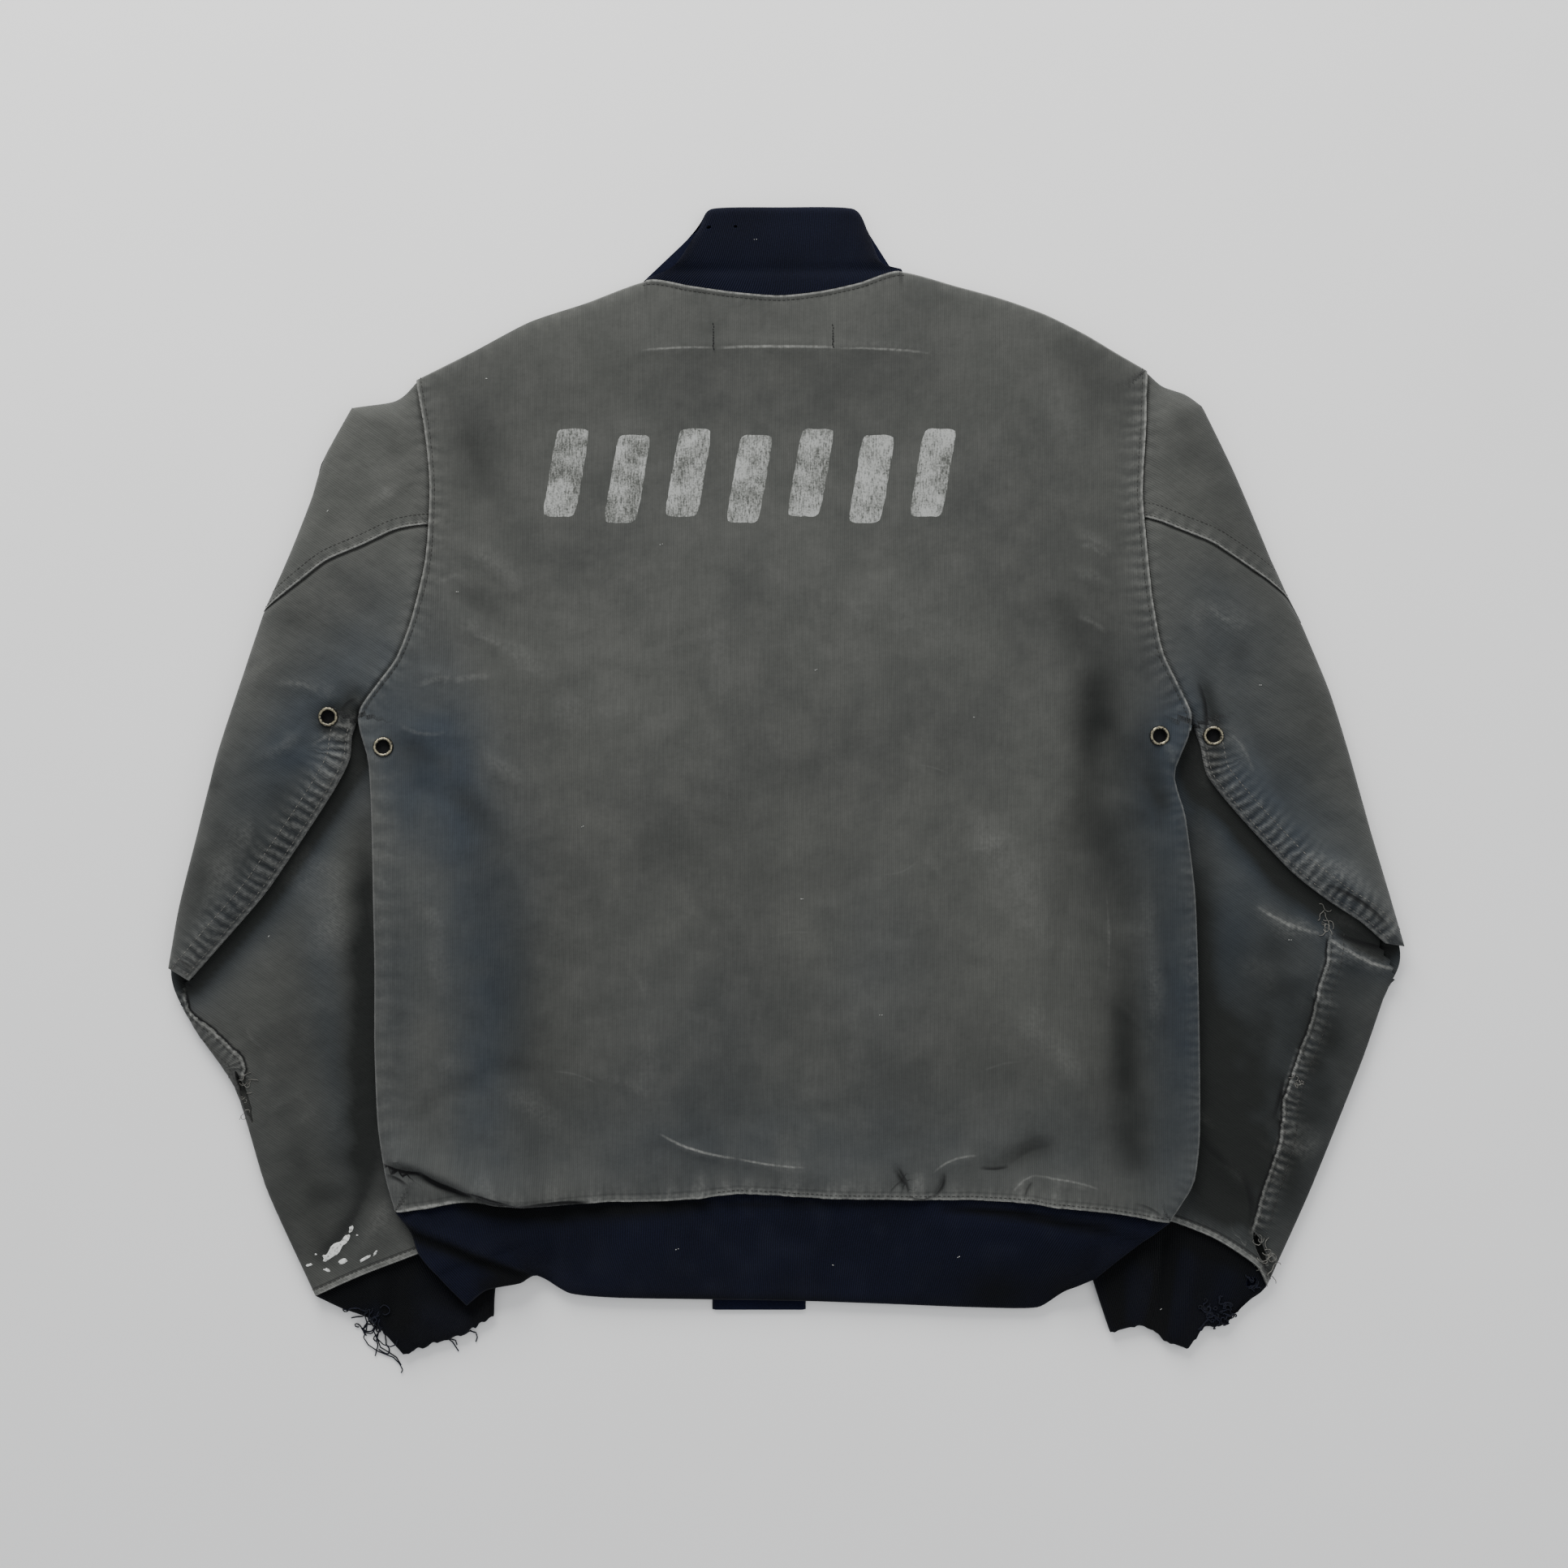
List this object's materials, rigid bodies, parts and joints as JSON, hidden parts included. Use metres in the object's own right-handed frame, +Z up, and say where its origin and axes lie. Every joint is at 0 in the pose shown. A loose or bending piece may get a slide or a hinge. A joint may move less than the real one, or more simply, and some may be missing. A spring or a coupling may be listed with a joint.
{
  "type": "deck jacket",
  "caption": "Blouson jacket of corded cotton laid back up, its sleeves folded under it, with a ribbed knit stand collar, waistband and frayed cuffs, and vent eyelets under the arms",
  "frame": {"origin": "the middle of the jacket's outline as it lies, on the surface under it", "axes": "X across the jacket from its left side to its right as seen from above, Y from the hem to the collar, Z up from the surface that it lies on"},
  "size_m": [0.7876, 0.7344, 0.0267],
  "materials": {
    "cloth": "worn corded cotton over a wool lining, warm dark grey",
    "knit": "ribbed wool knit, very dark navy, frayed at the cuffs",
    "zip": "dull brass chain on a dark tape",
    "eyelet": "brass with worn black enamel"
  },
  "bodies": {
    "root": {"back": "cloth", "front_left": "cloth", "front_right": "cloth", "wind_flap": "cloth", "wind_flap_rib": "knit", "zip": "zip", "collar": "knit", "collar_front_left": "knit", "collar_front_right": "knit", "waistband_back": "knit", "waistband_front_left": "knit", "waistband_front_right": "knit", "sleeve_left_back_upper": "cloth", "sleeve_left_back_lower": "cloth", "sleeve_left_under": "cloth", "sleeve_left_front": "cloth", "sleeve_left_base": "cloth", "sleeve_right_back_upper": "cloth", "sleeve_right_back_lower": "cloth", "sleeve_right_under": "cloth", "sleeve_right_front": "cloth", "sleeve_right_base": "cloth", "cuff_left": "knit", "cuff_left_under": "knit", "cuff_right": "knit", "cuff_right_under": "knit", "eyelet_body_left": "eyelet", "eyelet_body_right": "eyelet", "eyelet_sleeve_left": "eyelet", "eyelet_sleeve_right": "eyelet"}
  },
  "joints": []
}
